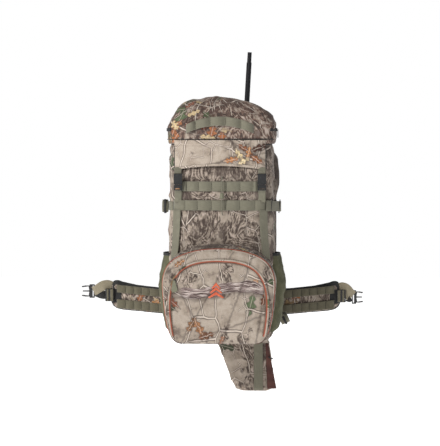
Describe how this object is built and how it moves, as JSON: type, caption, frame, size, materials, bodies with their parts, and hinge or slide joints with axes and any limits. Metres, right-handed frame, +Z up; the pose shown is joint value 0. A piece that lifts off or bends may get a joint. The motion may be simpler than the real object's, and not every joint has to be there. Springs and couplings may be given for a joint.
{
  "type": "hunting backpack",
  "caption": "Tall framed hunting backpack with hinged lid and front panel, side pockets, spread hip belt, rear sleeve with a standing barrel, and a hanging butt pocket.",
  "frame": {"origin": "centre of the lumbar pad's flat contact face, where the pack rests on the wearer's back", "axes": "+Z up along the pack, +Y towards the wearer, +X to the right when the pack is seen from its outer side"},
  "size_m": [0.836, 0.4059, 0.9923],
  "materials": {
    "camo_fabric": "printed woven polyester",
    "olive_webbing": "ribbed webbing",
    "belt_webbing": "ribbed webbing",
    "tan_webbing": "ribbed webbing",
    "stretch_knit": "stretch knit",
    "air_mesh": "spacer mesh over foam",
    "zip_orange": "zip tape and piping",
    "emblem_thread": "embroidery",
    "black_plastic": "moulded acetal",
    "frame_plastic": "sheet polyethylene",
    "stay_metal": "plain",
    "rod_metal": "satin black"
  },
  "bodies": {
    "root": {"bag_shell": "camo_fabric", "frame_sheet": "frame_plastic", "frame_hoop": "stay_metal", "rifle_sleeve": "camo_fabric", "lumbar_pad": "air_mesh", "yoke_panel": "camo_fabric", "back_pad": "air_mesh", "molle_row_upper": "olive_webbing", "molle_row_lower": "olive_webbing", "front_cord": "olive_webbing", "side_strap_left": "olive_webbing", "side_strap_right": "olive_webbing", "pocket_strap_left": "olive_webbing", "pocket_strap_right": "olive_webbing", "strap_roll_left": "olive_webbing", "side_lock_right": "black_plastic", "lower_strap_roll": "olive_webbing", "buckle_strap_left": "olive_webbing", "buckle_strap_right": "olive_webbing", "pocket_gusset": "camo_fabric", "pocket_zip": "zip_orange", "side_pocket_left": "stretch_knit", "side_pocket_right": "stretch_knit", "shoulder_webbing_left": "olive_webbing", "shoulder_webbing_right": "olive_webbing"},
    "rod": {"carried_rod": "rod_metal"},
    "handle": {"haul_handle": "olive_webbing"},
    "toggle": {"cord_toggle": "black_plastic"},
    "lid": {"lid_shell": "camo_fabric", "lid_handle_row": "olive_webbing"},
    "flap": {"lid_flap": "camo_fabric", "buckle_socket_left": "black_plastic", "buckle_socket_right": "black_plastic"},
    "lid_slider": {"lid_zip_slider": "black_plastic"},
    "lid_pull": {"lid_zip_pull": "black_plastic"},
    "door": {"pocket_door": "camo_fabric", "door_zip": "zip_orange", "emblem": "emblem_thread"},
    "door_slider": {"door_zip_slider": "black_plastic"},
    "door_pull": {"door_zip_pull": "olive_webbing"},
    "plug_left": {"buckle_plug_left": "black_plastic"},
    "plug_right": {"buckle_plug_right": "black_plastic"},
    "shoulder_left": {"shoulder_strap_left": "camo_fabric"},
    "shoulder_right": {"shoulder_strap_right": "camo_fabric"},
    "sternum_left": {"sternum_web_left": "olive_webbing", "sternum_socket": "black_plastic"},
    "sternum_right": {"sternum_web_right": "olive_webbing", "sternum_plug": "black_plastic"},
    "wing_left": {"hip_wing_left": "air_mesh", "wing_webbing_left": "belt_webbing", "belt_lock_left": "black_plastic", "belt_strap_left": "tan_webbing"},
    "wing_right": {"hip_wing_right": "air_mesh", "wing_webbing_right": "belt_webbing", "belt_lock_right": "black_plastic", "belt_strap_right": "tan_webbing"},
    "belt_end_left": {"belt_buckle_left": "black_plastic"},
    "belt_end_right": {"belt_buckle_right": "black_plastic"},
    "butt": {"butt_pocket": "camo_fabric", "butt_webbing": "olive_webbing"}
  },
  "joints": [
    {"name": "rod_lift", "type": "slide", "parent": "root", "child": "rod", "axis": [0.0565, 0, 0.9984], "range_m": [0, 0.25]},
    {"name": "handle_fold", "type": "hinge", "parent": "root", "child": "handle", "pos_m": [0, -0.0215, 0.412], "axis": [-1, 0, 0], "range_deg": [0, 90]},
    {"name": "toggle_slide", "type": "slide", "parent": "root", "child": "toggle", "axis": [0, 0, 1], "range_m": [-0.02, 0.02]},
    {"name": "lid_open", "type": "hinge", "parent": "root", "child": "lid", "pos_m": [0, -0.083, 0.462], "axis": [-1, 0, 0], "range_deg": [0, 40]},
    {"name": "flap_open", "type": "hinge", "parent": "lid", "child": "flap", "pos_m": [0, -0.253, 0.46], "axis": [-1, 0, 0], "range_deg": [0, 100]},
    {"name": "lid_zip_slide", "type": "slide", "parent": "lid", "child": "lid_slider", "axis": [0, 1, 0], "range_m": [-0.02, 0.02]},
    {"name": "lid_pull_swing", "type": "hinge", "parent": "lid_slider", "child": "lid_pull", "pos_m": [0.1628, -0.195, 0.501], "axis": [0, -1, 0], "range_deg": [0, 90]},
    {"name": "door_open", "type": "hinge", "parent": "root", "child": "door", "pos_m": [0, -0.3104, -0.106], "axis": [1, 0, 0], "range_deg": [0, 85]},
    {"name": "door_zip_slide", "type": "slide", "parent": "door", "child": "door_slider", "axis": [-0.185, 0, -0.9827], "range_m": [0, 0.06]},
    {"name": "door_pull_swing", "type": "hinge", "parent": "door_slider", "child": "door_pull", "pos_m": [-0.1247, -0.3257, 0.073], "axis": [-1, 0, 0], "range_deg": [0, 90]},
    {"name": "plug_left_release", "type": "slide", "parent": "root", "child": "plug_left", "axis": [0, 0, -1], "range_m": [0, 0.025]},
    {"name": "plug_right_release", "type": "slide", "parent": "root", "child": "plug_right", "axis": [0, 0, -1], "range_m": [0, 0.025]},
    {"name": "shoulder_left_swing", "type": "hinge", "parent": "root", "child": "shoulder_left", "pos_m": [-0.074, -0.012, 0.396], "axis": [1, 0, 0], "range_deg": [0, 15]},
    {"name": "shoulder_right_swing", "type": "hinge", "parent": "root", "child": "shoulder_right", "pos_m": [0.074, -0.012, 0.396], "axis": [1, 0, 0], "range_deg": [0, 15]},
    {"name": "sternum_left_slide", "type": "slide", "parent": "shoulder_left", "child": "sternum_left", "axis": [0, 0, 1], "range_m": [-0.02, 0.02]},
    {"name": "sternum_right_slide", "type": "slide", "parent": "shoulder_right", "child": "sternum_right", "axis": [0, 0, 1], "range_m": [-0.02, 0.02]},
    {"name": "wing_left_wrap", "type": "hinge", "parent": "root", "child": "wing_left", "pos_m": [-0.142, -0.004, 0], "axis": [0, 0, -1], "range_deg": [0, 80]},
    {"name": "wing_right_wrap", "type": "hinge", "parent": "root", "child": "wing_right", "pos_m": [0.142, -0.004, 0], "axis": [0, 0, 1], "range_deg": [0, 80]},
    {"name": "belt_end_left_turn", "type": "hinge", "parent": "wing_left", "child": "belt_end_left", "pos_m": [-0.392, -0.018, 0.022], "axis": [0, 0, 1], "range_deg": [-35, 35]},
    {"name": "belt_end_right_turn", "type": "hinge", "parent": "wing_right", "child": "belt_end_right", "pos_m": [0.376, -0.018, 0.008], "axis": [0, 0, 1], "range_deg": [-35, 35]},
    {"name": "butt_fold", "type": "hinge", "parent": "root", "child": "butt", "pos_m": [0, -0.084, -0.119], "axis": [-1, 0, 0], "range_deg": [0, 85]}
  ]
}
